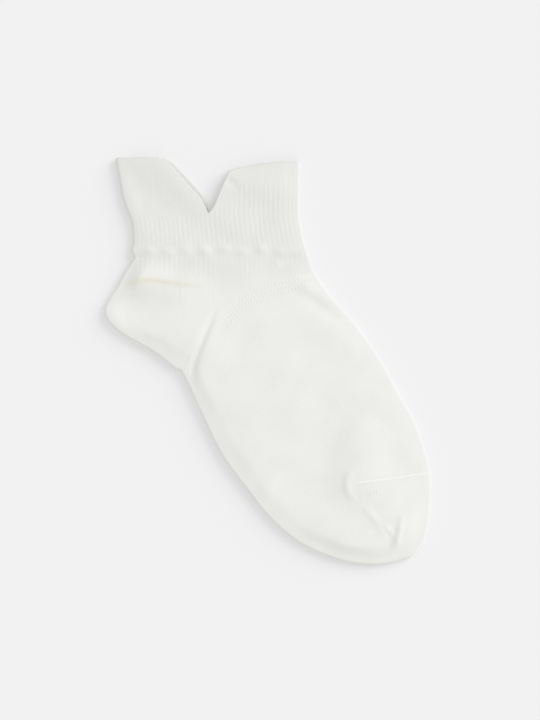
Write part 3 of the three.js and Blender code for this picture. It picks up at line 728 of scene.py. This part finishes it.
def knit_material(name, colour, sizes):
    """Bleached combed cotton, knitted plain: columns of small V stitches in a matt, soft yarn.

    It gives the eye a fine even grain that catches a raking light, and no gloss.
    """
    material, shader = new_material(name, {"Roughness": 0.92, "Specular IOR Level": 0.1})
    tree = material.node_tree
    uv = add_node(tree, "ShaderNodeUVMap", {"uv_map": "knit"})
    place = add_node(tree, "ShaderNodeSeparateXYZ", {}, uv)
    across = add_node(tree, MATH, MULTIPLY, place, UV_UNIT / mm(sizes.wale))
    along = add_node(tree, MATH, MULTIPLY, place.outputs[1], UV_UNIT / mm(sizes.course))
    in_wale = add_node(tree, MATH, FRACT, across)
    offset = add_node(tree, MATH, SUBTRACT, in_wale, 0.5)
    from_middle = add_node(tree, MATH, ABSOLUTE, offset)
    # Each V has two legs that rise from its middle to its sides.
    two_legs = add_node(tree, MATH, MULTIPLY, in_wale, 2 * math.pi)
    leg_wave = add_node(tree, MATH, SINE, two_legs)
    leg = add_node(tree, MATH, ABSOLUTE, leg_wave)
    leg_round = add_node(tree, MATH, POWER, leg, LEG_ROUNDNESS)
    slant = add_node(tree, MATH, MULTIPLY, from_middle, LEG_SLANT)
    slanted = add_node(tree, MATH, SUBTRACT, along, slant)
    turns = add_node(tree, MATH, MULTIPLY, slanted, 2 * math.pi)
    loop = add_node(tree, MATH, COSINE, turns)
    loop_round = add_node(tree, MATH, MULTIPLY_ADD, loop, LOOP_SWELL, 1 - LOOP_SWELL)
    stitch = add_node(tree, MATH, MULTIPLY, leg_round, loop_round)
    flat_noise = {"noise_dimensions": "2D"}
    fuzz = add_node(tree, "ShaderNodeTexNoise", flat_noise, uv, Scale=FIBRE_SCALE, Detail=3.0)
    height = add_node(tree, MATH, MULTIPLY_ADD, fuzz, FIBRE_RELIEF, stitch)
    bump = add_node(tree, "ShaderNodeBump", {}, Height=height, Strength=1.0, Distance=sizes.stitch_relief)
    tree.links.new(bump.outputs[0], shader.inputs["Normal"])

    # Painted shade: the hollows between stitches are painted a little darker. The yarn is also a little
    # uneven in tone.
    shade = add_node(tree, MATH, MULTIPLY_ADD, stitch, STITCH_PAINTED_SHADE, HOLLOW_SHADE_TONE)
    cloudy = add_node(tree, "ShaderNodeTexNoise", flat_noise, uv, Scale=UNEVEN_SCALE, Detail=2.0)
    uneven = add_node(tree, MATH, MULTIPLY_ADD, cloudy, UNEVEN_TONE, -UNEVEN_TONE / 2)
    value = add_node(tree, MATH, ADD, shade, uneven)
    # Painted shade: the cuff, ribbed and plain, is painted a little darker than the foot.
    cuff = add_node(tree, "ShaderNodeAttribute", {"attribute_name": "cuff"})
    value = add_node(tree, MATH, MULTIPLY_ADD, cuff.outputs["Fac"], -CUFF_PAINTED_SHADE, value)
    # Painted shade: the knit is painted darker along an open edge, which dims the highlight of its rim.
    edge = add_node(tree, "ShaderNodeAttribute", {"attribute_name": "edge"})
    value = add_node(tree, MATH, MULTIPLY_ADD, edge.outputs["Fac"], -EDGE_PAINTED_SHADE, value)
    tint = add_node(tree, VECTOR_MATH, SCALE, linear_colour(colour)[:3], Scale=value)
    # Painted shade: the crease of the roll over the heel is painted warmer and darker.
    warm = add_node(tree, "ShaderNodeAttribute", {"attribute_name": "warm"})
    warmth = add_node(tree, VECTOR_MATH, SCALE, WARM_SHADE_TINT, Scale=warm.outputs["Fac"])
    warmed = add_node(tree, VECTOR_MATH, ADD, tint, warmth)
    tree.links.new(warmed.outputs[0], shader.inputs["Base Color"])
    return material


def apply_nodes(obj, tree, values):
    """Runs a Geometry Nodes tree on an object and keeps its result as a plain mesh."""
    modifier = obj.modifiers.new(tree.name, "NODES")
    modifier.node_group = tree
    sockets = tree.interface.items_tree
    inputs = {socket.name: socket.identifier for socket in sockets if socket.in_out == "INPUT"}
    for label, value in values.items():
        modifier[inputs[label]] = value
    depsgraph = bpy.context.evaluated_depsgraph_get()
    result = bpy.data.meshes.new_from_object(
        obj.evaluated_get(depsgraph), preserve_all_data_layers=True, depsgraph=depsgraph
    )
    if not result.polygons:
        raise RuntimeError(f"{obj.name}: its nodes gave no faces")
    obj.modifiers.remove(modifier)
    obj.data = result
    result.name = obj.name


def new_tree(name, sockets):
    """A new Geometry Nodes tree with its sockets, and the node for what goes in."""
    tree = bpy.data.node_groups.new(name, "GeometryNodeTree")
    tree.interface.new_socket("Geometry", in_out="INPUT", socket_type="NodeSocketGeometry")
    for label, kind, default in sockets:
        socket = tree.interface.new_socket(label, in_out="INPUT", socket_type=kind)
        socket.default_value = default
    tree.interface.new_socket("Material", in_out="INPUT", socket_type="NodeSocketMaterial")
    tree.interface.new_socket("Geometry", in_out="OUTPUT", socket_type="NodeSocketGeometry")
    return tree, tree.nodes.new("NodeGroupInput")


def ended_tree(tree, given, geometry):
    """The same tree, with its result made one plain mesh of the given material."""
    real = add_node(tree, "GeometryNodeRealizeInstances", {}, geometry)
    done = add_node(tree, "GeometryNodeSetMaterial", {}, real, Material=given.outputs["Material"])
    add_node(tree, "NodeGroupOutput", {}, done)
    return tree


def rib_tree():
    """Raises ribs from a skin: a named attribute counts them, and another says how full they are."""
    sockets = [
        ("Rib Height", "NodeSocketFloat", 0.0005),
        ("Rib Roundness", "NodeSocketFloat", 0.7),
    ]
    tree, given = new_tree("Rib relief", sockets)
    attribute = "GeometryNodeInputNamedAttribute"
    count = add_node(tree, attribute, {"data_type": "FLOAT"}, "rib_count")
    fullness = add_node(tree, attribute, {"data_type": "FLOAT"}, "rib_fullness")
    normal = add_node(tree, attribute, {"data_type": "FLOAT_VECTOR"}, "skin_normal")
    turns = add_node(tree, MATH, MULTIPLY, count, 2 * math.pi)
    wave = add_node(tree, MATH, COSINE, turns)
    crest = add_node(tree, MATH, MULTIPLY_ADD, wave, -0.5, 0.5)
    rounded = add_node(tree, MATH, POWER, crest, given.outputs["Rib Roundness"])
    height = add_node(tree, MATH, MULTIPLY, rounded, given.outputs["Rib Height"])
    amount = add_node(tree, MATH, MULTIPLY, height, fullness)
    offset = add_node(tree, VECTOR_MATH, SCALE, normal, Scale=amount)
    moved = add_node(tree, "GeometryNodeSetPosition", {}, given, Offset=offset)
    return ended_tree(tree, given, moved)


def stitch_tree():
    """Lays one small stitch after another along a line."""
    sockets = [
        ("Stitch Pitch", "NodeSocketFloat", 0.002),
        ("Stitch Size", "NodeSocketVector", (0.0015, 0.0006, 0.0004)),
        ("Slant", "NodeSocketFloat", 0.0),
    ]
    tree, given = new_tree("Stitch row", sockets)
    line = add_node(tree, "GeometryNodeMeshToCurve", {}, given)
    pitch = given.outputs["Stitch Pitch"]
    spaced = add_node(tree, "GeometryNodeResampleCurve", {"mode": "LENGTH"}, line, Length=pitch)
    ball = add_node(tree, "GeometryNodeMeshUVSphere", {}, Segments=8, Rings=5, Radius=0.5)
    stitch = add_node(tree, "GeometryNodeSetShadeSmooth", {}, ball)
    tangent = add_node(tree, "GeometryNodeInputTangent", {})
    facing = {"axis": "X", "pivot_axis": "Z"}
    along = add_node(tree, "FunctionNodeAlignRotationToVector", facing, Vector=tangent)
    turn = add_node(tree, "FunctionNodeAxisAngleToRotation", {}, (0, 0, 1), given.outputs["Slant"])
    slanted = add_node(tree, "FunctionNodeRotateRotation", {"rotation_space": "LOCAL"}, along, turn)
    placed = add_node(
        tree,
        "GeometryNodeInstanceOnPoints",
        {},
        spaced,
        Instance=stitch,
        Rotation=slanted,
        Scale=given.outputs["Stitch Size"],
    )
    return ended_tree(tree, given, placed)


def stitched(name, lines, pitch, size, slant, material):
    """Rows of stitches along lines of points in space, in metres, as one piece."""
    points, edges = [], []
    for line in lines:
        first = len(points)
        points.extend(line)
        edges.extend((first + i, first + i + 1) for i in range(len(line) - 1))
    mesh = bpy.data.meshes.new(name)
    mesh.from_pydata(points, edges, [])
    obj = add_object(name, mesh)
    values = {
        "Stitch Pitch": pitch,
        "Stitch Size": size,
        "Slant": math.radians(slant),
        "Material": material,
    }
    apply_nodes(obj, bpy.data.node_groups.get("Stitch row") or stitch_tree(), values)
    return obj


def cloth_top(names):
    """A function that gives the height of the named pieces' top at a place in the plan, in millimetres."""
    depsgraph = bpy.context.evaluated_depsgraph_get()
    trees = [BVHTree.FromObject(bpy.data.objects[name], depsgraph) for name in names]
    above, down = LOOK_DOWN * MM, Vector((0, 0, -1))

    def height(x, y):
        hits = [tree.ray_cast(Vector((x * MM, y * MM, above)), down)[0] for tree in trees]
        found = [hit.z for hit in hits if hit is not None]
        if not found:
            raise RuntimeError(f"no cloth under the stitch at {x:.1f}, {y:.1f}")
        return max(found) / MM

    return height


def seam_line(points, height, offset=0.0):
    """Points in metres along a line in the plan, moved sideways by an offset and laid on the cloth."""
    places = catmull_rom(points, even_places(points, STITCH_LINE_SPACING))
    way = np.gradient(places, axis=0)
    way /= np.linalg.norm(way, axis=1)[:, None]
    moved = places + offset * np.stack([-way[:, 1], way[:, 0]], axis=1)
    return [(x * MM, y * MM, (height(x, y) - SEAM_SINK) * MM) for x, y in moved]


def rib_attributes(half, sizes, reach, ribs, fullness, row_edge=None, plain_row=None):
    """Attributes that the rib tree reads, for one half of a ring or for a tab.

    The ribs are counted from the fold and end as a whole count at the reach. From the plain row on
    they run straight down the plan instead, at the pitch that they have there.
    """
    radius = mm(sizes.fold_radius)
    length = half.inward[:, -1:] if reach is None else np.full((len(half.inward), 1), reach)
    span = length - radius
    pitch = span / ribs
    slant = np.ones_like(span)
    if plain_row is not None:
        below = slice(plain_row, None)
        pitch[below] = pitch[plain_row]
        fold_x = half.fold_x[below, 0]
        slant[below, 0] = np.abs(half.plan[below, -1, 0] - fold_x) / length[below, 0]
        span[below, 0] = np.abs(fold_x - half.plan[plain_row, -1, 0]) - radius
    up = half.normal[:, :, 2]
    unrolled = radius * (np.arcsin(np.clip(up, -1, 1)) - math.pi / 2)
    unrolled = np.where((half.fade > 0) | (up > LEVEL), half.inward - radius, unrolled)
    unrolled = np.where(up < -LEVEL, -math.pi * radius - (half.inward - radius), unrolled)
    count = ribs - (span - unrolled * slant) / pitch
    full = fullness[:, None] * smooth(up + RIB_TURN)
    full = full * smooth(edge_distance(half, row_edge) / (mm(sizes.wall) / 2))
    return {"rib_count": count, "rib_fullness": full, "skin_normal": half.normal}


def cuff_shade_attribute(half):
    """1 where the cuff's painted shade lies, and 0 below it."""
    return smooth((half.plan[:, :, 1] - CUFF_END_Y) / CUFF_RUN)


def edge_shade_attribute(half, row_edge):
    """1 at an open edge, and 0 where its painted shade ends."""
    return 1 - smooth(edge_distance(half, row_edge) / EDGE_RUN)


def warm_shade_attribute(half):
    """How strongly the warm painted shade of the roll over the heel's top line lies on the near leaf."""
    return crease_height(ROLL_PAINTED_SHADE, half.plan[:, :, 0], half.plan[:, :, 1]) * half.fade


def rib_flat(half, count, ribs, side, sizes):
    """Knit coordinates of ribbed cloth: two wales to a rib, from the ribs' end, and the courses down."""
    steps = np.linalg.norm(np.diff(half.plan, axis=0), axis=2)
    down = np.vstack([np.zeros(steps.shape[1]), np.cumsum(steps, axis=0)])
    return np.dstack([side * (ribs - count) * mm(sizes.wale) * 2, -down])


def sizes_of(context):
    return context.scene.sock_sizes


def yarn(context, kind):
    """The material that all pieces of one kind of yarn share."""
    name, colour = YARNS[kind], getattr(context.scene.sock_colours, kind)
    return bpy.data.materials.get(name) or knit_material(name, colour, sizes_of(context))


def raise_ribs(obj, sizes, material):
    """Gives a ribbed piece its relief, from the attributes that its stations carry."""
    values = {
        "Rib Height": sizes.rib_height,
        "Rib Roundness": sizes.rib_roundness,
        "Material": material,
    }
    apply_nodes(obj, bpy.data.node_groups.get("Rib relief") or rib_tree(), values)


def finish_piece(obj, node):
    """Ties a piece to the body, and hides the solid that it takes the place of, if any."""
    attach(obj, "root")
    if node:
        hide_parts(node)


def ribs_beside_notch(half):
    """How full the ribs of the front tab are: they fade out towards the V, and least low down."""
    from_notch = half.inward[:, -1:] - half.inward
    high = smooth((half.plan[:, :, 1] - NOTCH_Y) / NOTCH_RISE)
    return 1 - high * (1 - smooth((from_notch - NOTCH_PLAIN) / NOTCH_RUN))


def table_columns(table, points, numbers, places):
    """Smooth columns of a piece's table, by name: those that hold points and those that hold numbers."""
    columns = {name: catmull_rom([getattr(row, name) for row in table], places) for name in points}
    for name in numbers:
        columns[name] = catmull_rom([[getattr(row, name)] for row in table], places)[:, 0]
    return columns


def tab_rows(table, spacing, rounding):
    """Rows of a tab from its top edge down, close together where the edge is rounded."""
    fold = [row.fold for row in table]
    places = row_places(fold, spacing, tight_start=False)
    first = np.linalg.norm(np.subtract(fold[1], fold[0]))
    close = rounding * np.append(EDGE_STEPS[::-1], 1.0) / first
    places = np.concatenate([close, places[places > close[-1] * EDGE_CLEARANCE]])
    columns = table_columns(table, ("fold", "near", "far"), ("bow", "rib"), places)
    steps = np.linalg.norm(np.diff(columns["fold"], axis=0), axis=1)
    columns["down"] = np.concatenate([[0], np.cumsum(steps)])
    return columns


def make_tab(context, name, table, ribs):
    """A tab of the mouth, open along its top and along the V, plain or with a number of ribs."""
    sizes = sizes_of(context)
    middle = mm(sizes.wall) / 2
    rows = tab_rows(table, RIBBED_SPACING, middle)
    near_length = np.linalg.norm(rows["near"] - rows["fold"], axis=1)
    reach = near_length[-1] if ribs else None
    columns = TAB_COLUMNS._replace(near=ribs * RIB_STEPS) if ribs else TAB_COLUMNS
    lines = rows["fold"], rows["near"], rows["far"]
    halves = both_skins(*lines, columns, sizes, reach=reach, bow=rows["bow"], open_edge=middle)
    half = halves[0]
    attributes = {"cuff": cuff_shade_attribute(half), "edge": edge_shade_attribute(half, rows["down"])}
    if ribs:
        attributes |= rib_attributes(half, sizes, reach, ribs, rows["rib"], rows["down"])
        attributes["rib_fullness"] = attributes["rib_fullness"] * ribs_beside_notch(half)
        flat = rib_flat(half, attributes["rib_count"], ribs, 1, sizes)
        flat[:, :, 1] -= flat[-1:, :, 1]
    else:
        flat = half.flat - np.array(table[-1].fold)
    material = yarn(context, "rib_yarn" if ribs else "plain_yarn")
    skins = skin_points(halves, sizes, rows["down"])
    obj = cloth_object(name, *skins, False, flat, attributes, material)
    if ribs:
        raise_ribs(obj, sizes, material)
    return obj


def make_band(context):
    """The closed ring of ribbed cloth, in two halves that meet under the foot of the V."""
    sizes = sizes_of(context)
    places = row_places([row.middle for row in RIB_BAND], RIBBED_SPACING)
    lines = table_columns(RIB_BAND, ("back", "middle", "front"), ("back_rib", "front_rib"), places)
    middle = lines["middle"]
    plain_row = int(np.argmax(middle[:, 1] < PLAIN_STRIP_Y))
    halves, sides = [], []
    for side, ribs, way in (("back", sizes.back_ribs, -1), ("front", sizes.front_ribs, 1)):
        columns = BAND_COLUMNS._replace(near=ribs * RIB_STEPS)
        pair = both_skins(lines[side], middle, middle, columns, sizes)
        full = np.clip(lines[side + "_rib"], 0, 1)
        found = rib_attributes(pair[0], sizes, None, ribs, full, plain_row=plain_row)
        found["flat"] = rib_flat(pair[0], found["rib_count"], ribs, way, sizes)
        halves.append(pair)
        sides.append(found)
    back, front = sides
    both = {key: np.concatenate([back[key], front[key][:, ::-1][:, 1:-1]], axis=1) for key in back}
    flat = both.pop("flat")
    rings = [joined(*pair) for pair in zip(*halves)]
    both["cuff"] = cuff_shade_attribute(rings[0])
    both["warm"] = warm_shade_attribute(rings[0])
    material = yarn(context, "rib_yarn")
    skins = skin_points(rings, sizes)
    obj = cloth_object("rib_band_knit", *skins, True, flat, both, material)
    raise_ribs(obj, sizes, material)
    return obj


def make_pocket(context, name, corner, fold_points, wale_turn):
    """A heel or toe pocket: every row runs from the fold to the corner where short rows start."""
    sizes = sizes_of(context)
    fold = catmull_rom(fold_points, row_places(fold_points, PLAIN_SPACING))
    tip = np.repeat(np.array([corner], float), len(fold), axis=0)
    halves = both_skins(fold, tip, tip, POCKET_COLUMNS, sizes)
    flat = turned_flat(halves[0].flat, wale_turn)
    skins = skin_points(halves, sizes)
    return cloth_object(name, *skins, False, flat, {}, yarn(context, "plain_yarn"))


def make_foot(context):
    """The closed ring of plain cloth between the two pockets."""
    sizes = sizes_of(context)
    places = row_places([row.middle for row in FOOT], PLAIN_SPACING)
    lines = table_columns(FOOT, ("sole", "middle", "instep"), (), places)
    middle = lines["middle"]
    edges = lines["sole"], lines["instep"]
    halves = [both_skins(edge, middle, middle, FOOT_COLUMNS, sizes) for edge in edges]
    rings = [joined(*pair) for pair in zip(*halves)]
    flat = turned_flat(rings[0].flat, FOOT_WALES)
    skins = skin_points(rings, sizes)
    return cloth_object("foot_knit", *skins, True, flat, {}, yarn(context, "plain_yarn"))


def make_toe_seam(context):
    """A rounded strip over the near leaf and round the front fold, as the solid has it."""
    sizes = sizes_of(context)
    radius = mm(sizes.fold_radius)
    start, end = np.array(TOE_CORNER, float), np.array(FOOT[-1].instep, float)
    length = np.linalg.norm(start - end)
    way = (start - end) / length
    sideways = np.array([-way[1], way[0]])
    angle = np.radians(np.linspace(SEAM_WRAP, 90, SEAM_WRAP_STEPS, endpoint=False))
    level = np.arange(radius, length - SEAM_STOP, SEAM_SPACING)
    along = np.concatenate([radius - radius * np.cos(angle), level])
    tilt = np.concatenate([angle, np.full(len(along) - len(angle), math.pi / 2)])
    across = np.linspace(-1, 1, SEAM_COLUMNS)
    plan = end + way * along[:, None]
    fade = np.where(tilt < math.pi / 2, 0, smooth((along - radius) / LIFT_FADE))
    taper = SEAM_END + (1 - SEAM_END) * smooth((length - SEAM_STOP - along) / SEAM_TAPER)
    profile = 0.5 + 0.5 * np.cos(math.pi * across)
    half_width = mm(sizes.seam_width) / 2
    skins = []
    for height in (mm(sizes.seam_height), 0.0):
        rise = np.outer(taper, profile) * height - SEAM_SINK
        out = np.cos(tilt)[:, None] * rise
        x = plan[:, None, 0] + sideways[0] * across * half_width - way[0] * out
        y = plan[:, None, 1] + sideways[1] * across * half_width - way[1] * out
        crown = crown_height(along - radius)[:, None]
        base = radius + radius * np.sin(tilt)[:, None] + crown + lift(x, y) * fade[:, None]
        skins.append(np.dstack([x, y, base + rise * np.sin(tilt)[:, None]]))
    flat = np.dstack(np.meshgrid(across, along))
    return cloth_object("toe_seam_strip", *skins, False, flat, {}, yarn(context, "seam_yarn"))


class SOCK_OT_tabs(bpy.types.Operator):
    """Makes the back and the front tab of the mouth"""

    bl_idname = "sock.tabs"
    bl_label = "Make the tabs"

    def execute(self, context):
        back = make_tab(context, "back_tab_knit", BACK_TAB, 0)
        finish_piece(back, "back_tab")
        front = make_tab(context, "front_tab_knit", FRONT_TAB, sizes_of(context).front_ribs)
        finish_piece(front, "front_tab")
        return {"FINISHED"}


class SOCK_OT_rib_band(bpy.types.Operator):
    """Makes the ribbed band round the ankle"""

    bl_idname = "sock.rib_band"
    bl_label = "Make the rib band"

    def execute(self, context):
        finish_piece(make_band(context), "rib_band")
        return {"FINISHED"}


class SOCK_OT_foot(bpy.types.Operator):
    """Makes the heel pocket, the foot and the toe pocket"""

    bl_idname = "sock.foot"
    bl_label = "Make the foot"

    def execute(self, context):
        heel = make_pocket(context, "heel_pocket_knit", ANKLE_CORNER, HEEL_FOLD, HEEL_WALES)
        finish_piece(heel, "heel_pocket")
        finish_piece(make_foot(context), "foot")
        toe = make_pocket(context, "toe_pocket_knit", TOE_CORNER, TOE_FOLD, FOOT_WALES)
        finish_piece(toe, "toe_pocket")
        return {"FINISHED"}


class SOCK_OT_seams(bpy.types.Operator):
    """Makes the raised linked seam that closes the toe, and the rows of raised stitches"""

    bl_idname = "sock.seams"
    bl_label = "Make the seams"

    def execute(self, context):
        finish_piece(make_toe_seam(context), "toe_seam")
        height = cloth_top([cut.piece for cut in CUTS] + ["toe_seam_strip"])
        for row in STITCH_ROWS:
            lines = [seam_line(row.points, height, step) for step in row.steps]
            size = tuple(side * MM for side in row.size)
            linked = row.name.startswith("toe_seam")
            material = yarn(context, "seam_yarn" if linked else "plain_yarn")
            stitches = stitched(row.name, lines, row.pitch * MM, size, row.slant, material)
            finish_piece(stitches, None)
        return {"FINISHED"}


class SOCK_OT_cuts(bpy.types.Operator):
    """Does nothing: it states no cut of cloth for any piece"""

    bl_idname = "sock.cuts"
    bl_label = "State the cuts"

    def execute(self, context):
        return {"FINISHED"}


class SOCK_OT_stage(bpy.types.Operator):
    """Makes the pale floor, the soft light from the upper right and the camera straight above"""

    bl_idname = "sock.stage"
    bl_label = "Make the stage"

    def execute(self, context):
        scene = context.scene
        bpy.ops.mesh.primitive_plane_add(size=FLOOR_SIZE, location=(0, 0, -FLOOR_DROP))
        floor = context.object
        floor.name = "floor"
        floor.data.materials.append(board_material(scene.sock_colours.floor))

        world = bpy.data.worlds.new("soft studio")
        scene.world = world
        world.use_nodes = True
        background = world.node_tree.nodes["Background"]
        background.inputs["Color"].default_value = WHITE
        background.inputs["Strength"].default_value = ROOM_STRENGTH

        light = bpy.data.lights.new("softbox", "SUN")
        light.energy = SOFTBOX_STRENGTH
        light.angle = math.radians(SOFTBOX_SPREAD)
        side, up = math.radians(SOFTBOX_SIDE), math.radians(SOFTBOX_HEIGHT)
        towards = Vector((math.cos(side) * math.cos(up), math.sin(side) * math.cos(up), math.sin(up)))
        add_object("softbox", light).rotation_euler = towards.to_track_quat("Z", "Y").to_euler()

        camera = bpy.data.cameras.new("camera")
        camera.lens = LENS
        camera.sensor_width = SENSOR
        camera.clip_end = CAMERA_REACH
        scene.camera = add_object("camera", camera)
        height = PHOTO_HEIGHT * LENS / SENSOR + sizes_of(context).fold_radius
        scene.camera.location = (*PICTURE_MIDDLE, height)

        view = scene.view_settings
        view.view_transform = "Standard"
        # The picture's brightest lights are held back, as a camera does with a white thing, by the
        # curve that red, green and blue share.
        view.use_curve_mapping = True
        tones = view.curve_mapping.curves[3]
        for light_in, light_out in HELD_LIGHTS:
            tones.points.new(light_in, light_out).handle_type = "VECTOR"
        tones.points[len(tones.points) - 1].location = (1.0, HIGHEST_LIGHT)
        view.curve_mapping.update()
        return {"FINISHED"}


class SOCK_PT_panel(bpy.types.Panel):
    """Lists the sock's pieces, sizes and colours"""

    bl_idname = "SOCK_PT_panel"
    bl_label = "Ankle sock"
    bl_space_type = "VIEW_3D"
    bl_region_type = "UI"
    bl_category = "Sock"

    def draw(self, context):
        for group in (context.scene.sock_sizes, context.scene.sock_colours):
            for name in group.bl_rna.properties.keys():
                if name not in ("rna_type", "name"):
                    self.layout.prop(group, name)
        for operator in OPERATORS:
            self.layout.operator(operator.bl_idname)


OPERATORS = (
    SOCK_OT_stage,
    SOCK_OT_tabs,
    SOCK_OT_rib_band,
    SOCK_OT_foot,
    SOCK_OT_seams,
    SOCK_OT_cuts,
)
CLASSES = (SockSizes, SockColours, *OPERATORS, SOCK_PT_panel)


def register():
    for cls in CLASSES:
        bpy.utils.register_class(cls)
    bpy.types.Scene.sock_sizes = bpy.props.PointerProperty(type=SockSizes)
    bpy.types.Scene.sock_colours = bpy.props.PointerProperty(type=SockColours)


def unregister():
    del bpy.types.Scene.sock_colours
    del bpy.types.Scene.sock_sizes
    for cls in reversed(CLASSES):
        bpy.utils.unregister_class(cls)


def main():
    register()
    bpy.ops.sock.stage()
    bpy.ops.sock.tabs()
    bpy.ops.sock.rib_band()
    bpy.ops.sock.foot()
    bpy.ops.sock.seams()
    bpy.ops.sock.cuts()


if __name__ == "__main__":
    main()
